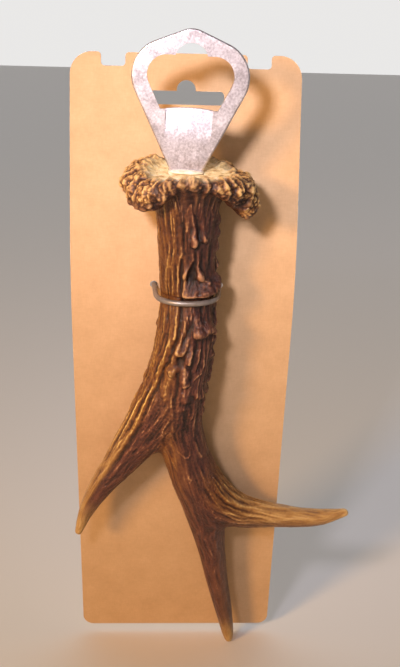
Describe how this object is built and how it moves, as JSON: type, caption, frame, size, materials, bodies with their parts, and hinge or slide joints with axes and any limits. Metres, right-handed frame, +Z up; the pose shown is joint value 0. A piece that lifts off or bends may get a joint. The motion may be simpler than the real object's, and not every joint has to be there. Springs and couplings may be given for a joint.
{
  "type": "souvenir bottle opener",
  "caption": "Cap-lifting opener head glued into the burr of a roe-deer antler handle, tied by a wire to a bowed board hang card.",
  "frame": {"origin": "centre of the hang slot on the card's front face", "axes": "+Z up the card towards the opener head, -Y towards the viewer, +X to the viewer's right"},
  "size_m": [0.1341, 0.0785, 0.31],
  "materials": {
    "kraft_board": "matte",
    "tie_metal": "satin",
    "antler": "satin",
    "resin": "gloss",
    "plated_steel": "satin"
  },
  "bodies": {
    "card": {"display_card": "kraft_board", "tie_wire": "tie_metal"},
    "opener": {"antler_handle": "antler", "opener_plate": "plated_steel", "adhesive_fill": "resin"}
  },
  "joints": [
    {"name": "opener_swivel", "type": "hinge", "parent": "card", "child": "opener", "pos_m": [0.0014, -0.0231, -0.0815], "axis": [0, 1, 0], "range_deg": [-5, 5]}
  ]
}
